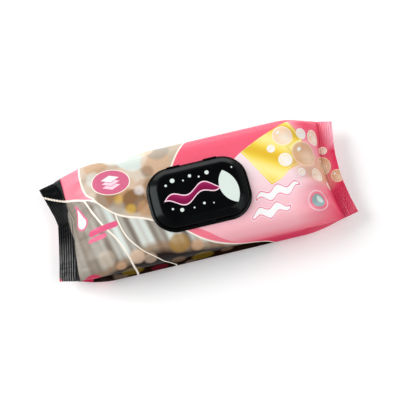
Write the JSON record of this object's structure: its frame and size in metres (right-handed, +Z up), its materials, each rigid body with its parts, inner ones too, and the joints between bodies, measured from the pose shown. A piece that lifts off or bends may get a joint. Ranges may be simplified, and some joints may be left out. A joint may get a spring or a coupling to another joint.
{
  "type": "wet wipes pack",
  "caption": "Sealed film pack of folded wet wipes with crimped ends and a black flip-top lid that hinges open over a peel label.",
  "frame": {"origin": "middle of the underside of the pack, on the surface it lies on", "axes": "+X along the pack to the right seal, +Y across it to the side where the lid hinges, +Z up through the lid"},
  "size_m": [0.25, 0.095, 0.0471],
  "materials": {
    "printed_film": "glossy printed plastic film, pink with pale and dark fields",
    "black_plastic": "glossy black moulded polypropylene",
    "label_foil": "pale glossy self-adhesive film"
  },
  "bodies": {
    "pack": {"film_pack": "printed_film", "lid_frame": "black_plastic", "peel_label": "label_foil"},
    "lid": {"flip_lid": "black_plastic"}
  },
  "joints": [
    {"name": "lid_hinge", "type": "hinge", "parent": "pack", "child": "lid", "pos_m": [0, 0.0232, 0.0421], "axis": [-1, 0, 0], "range_deg": [0, 150]}
  ]
}
